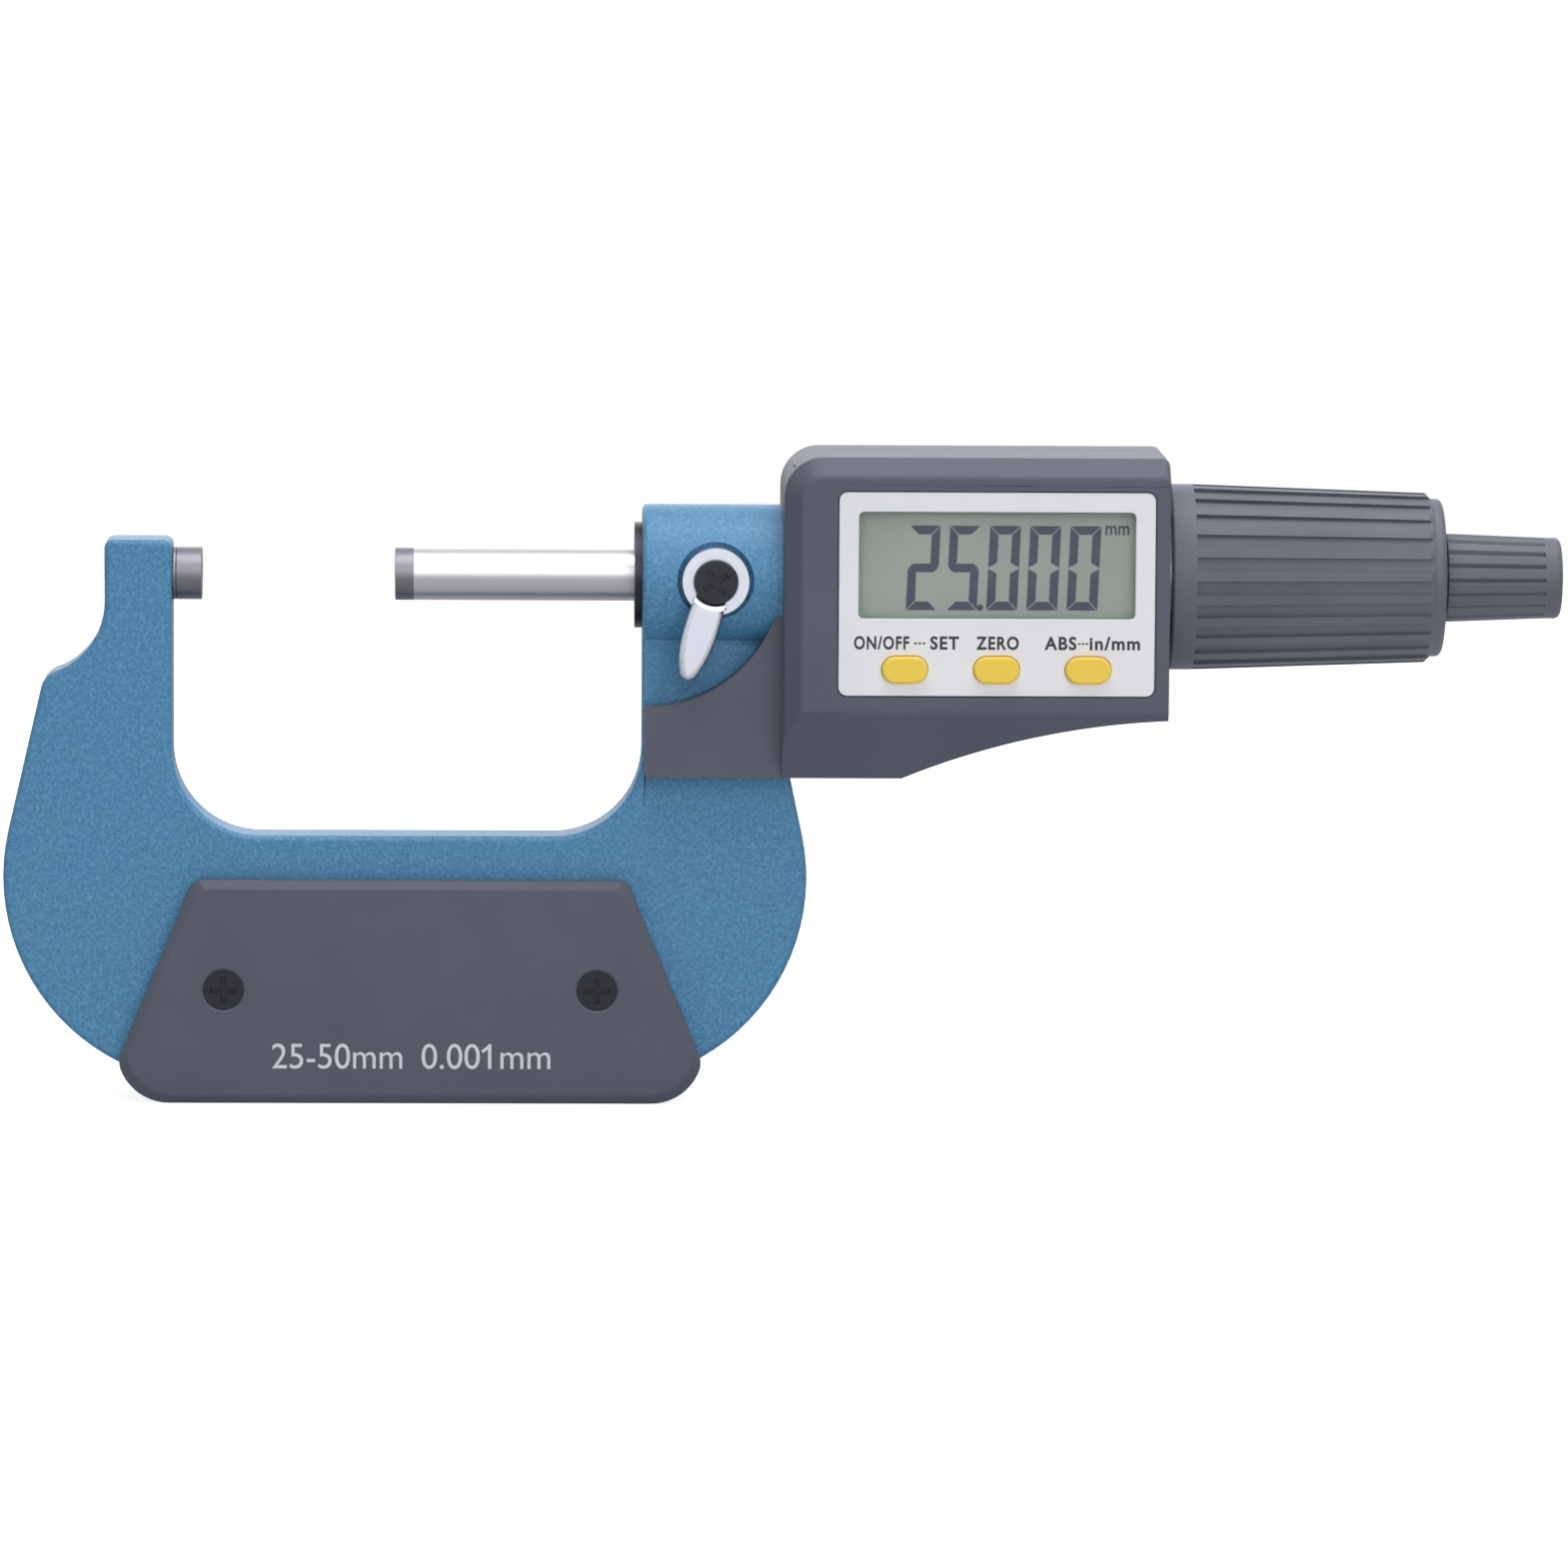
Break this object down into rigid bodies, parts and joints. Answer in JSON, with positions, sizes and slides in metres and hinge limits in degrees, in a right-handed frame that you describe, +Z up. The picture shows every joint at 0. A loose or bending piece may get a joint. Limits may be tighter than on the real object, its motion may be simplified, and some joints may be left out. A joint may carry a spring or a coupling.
{
  "type": "digital outside micrometer",
  "caption": "Outside micrometer: U-shaped cast frame with an anvil, a screw-fed spindle with lock lever, a display housing with buttons, a ribbed thimble and a ratchet knob.",
  "frame": {"origin": "middle of the anvil's measuring face", "axes": "+X along the measuring axis towards the thimble, +Z up, -Y the display side"},
  "size_m": [0.202, 0.0269, 0.0847],
  "materials": {
    "blue_paint": "hammered metallic blue enamel over a casting",
    "carbide": "ground carbide, dark grey",
    "grey_plastic": "fine matt moulded plastic, slate grey",
    "thimble_plastic": "fine matt moulded plastic, slate grey",
    "black_steel": "black oxide",
    "brass": "plain",
    "cast_alloy": "turned or cast, plain",
    "plain_steel": "plain",
    "satin_steel": "ground along the axis",
    "satin_chrome": "satin chrome",
    "board_green": "solder mask",
    "rubber": "plain",
    "silver_plate": "fine satin silver",
    "lcd_glass": "grey-green display",
    "white_plastic": "plain",
    "yellow_button": "smooth",
    "clear_lens": "clear"
  },
  "bodies": {
    "frame": {"frame": "blue_paint", "anvil": "carbide", "anvil_tip": "carbide", "front_grip_plate": "grey_plastic", "rear_grip_plate": "grey_plastic", "front_plate_screws": "black_steel", "rear_plate_screws": "black_steel", "spindle_bush": "black_steel", "lock_shoe": "brass", "encoder_chassis": "cast_alloy", "chassis_screws": "plain_steel", "encoder_stator": "board_green", "stem_sleeve": "satin_steel", "lead_nut": "brass", "adjusting_nut": "plain_steel", "front_shell": "grey_plastic", "rear_cover": "grey_plastic", "cover_gasket": "rubber", "cover_screws": "plain_steel", "bezel_plate": "silver_plate", "display_lens": "clear_lens", "lcd_module": "lcd_glass", "lcd_connector": "rubber", "circuit_board": "board_green", "board_screws": "plain_steel", "keypad_membrane": "rubber", "key_domes": "plain_steel", "battery": "plain_steel", "cell_contact": "brass", "side_contact": "brass"},
    "rotor": {"encoder_rotor": "white_plastic", "rotor_key": "plain_steel"},
    "spindle": {"spindle": "satin_steel", "spindle_tip": "carbide", "thimble_core": "cast_alloy", "thimble": "thimble_plastic", "ratchet_shaft": "plain_steel", "ratchet_driver": "plain_steel", "ratchet_screw": "plain_steel"},
    "ratchet": {"ratchet_knob": "thimble_plastic", "ratchet_pawl": "brass", "ratchet_spring": "plain_steel"},
    "lock": {"lock_lever": "satin_chrome", "lock_stem": "plain_steel", "lock_screw": "black_steel"},
    "on_off": {"on_off_button": "yellow_button"},
    "zero": {"zero_button": "yellow_button"},
    "unit": {"unit_button": "yellow_button"},
    "cap_seal": {"battery_cap_seal": "rubber"},
    "cap": {"battery_cap": "grey_plastic"}
  },
  "joints": [
    {"name": "spindle_spin", "type": "hinge", "parent": "frame", "child": "rotor", "pos_m": [0.088, 0, 0], "axis": [1, 0, 0], "range_deg": [0, 18000]},
    {"name": "spindle_feed", "type": "slide", "parent": "rotor", "child": "spindle", "axis": [1, 0, 0], "range_m": [0, 0.025]},
    {"name": "ratchet_turn", "type": "hinge", "parent": "spindle", "child": "ratchet", "pos_m": [0.165, 0, 0], "axis": [1, 0, 0], "continuous": true},
    {"name": "lock_turn", "type": "hinge", "parent": "frame", "child": "lock", "pos_m": [0.0664, 0, 0], "axis": [0, 1, 0], "range_deg": [-40, 25]},
    {"name": "on_off_press", "type": "slide", "parent": "frame", "child": "on_off", "axis": [0, 1, 0], "range_m": [0, 0.0005], "stiffness_N_per_m": 1500},
    {"name": "zero_press", "type": "slide", "parent": "frame", "child": "zero", "axis": [0, 1, 0], "range_m": [0, 0.0005], "stiffness_N_per_m": 1500},
    {"name": "unit_press", "type": "slide", "parent": "frame", "child": "unit", "axis": [0, 1, 0], "range_m": [0, 0.0005], "stiffness_N_per_m": 1500},
    {"name": "cap_turn", "type": "hinge", "parent": "frame", "child": "cap_seal", "pos_m": [0.104, 0.01, -0.008], "axis": [0, 1, 0], "range_deg": [0, 720]},
    {"name": "cap_lift", "type": "slide", "parent": "cap_seal", "child": "cap", "axis": [0, 1, 0], "range_m": [0, 0.002]}
  ],
  "couplings": [
    {"joint": "spindle_spin", "follows": "spindle_feed", "rad_per_m": 12566},
    {"joint": "cap_turn", "follows": "cap_lift", "rad_per_m": 6283.1}
  ]
}
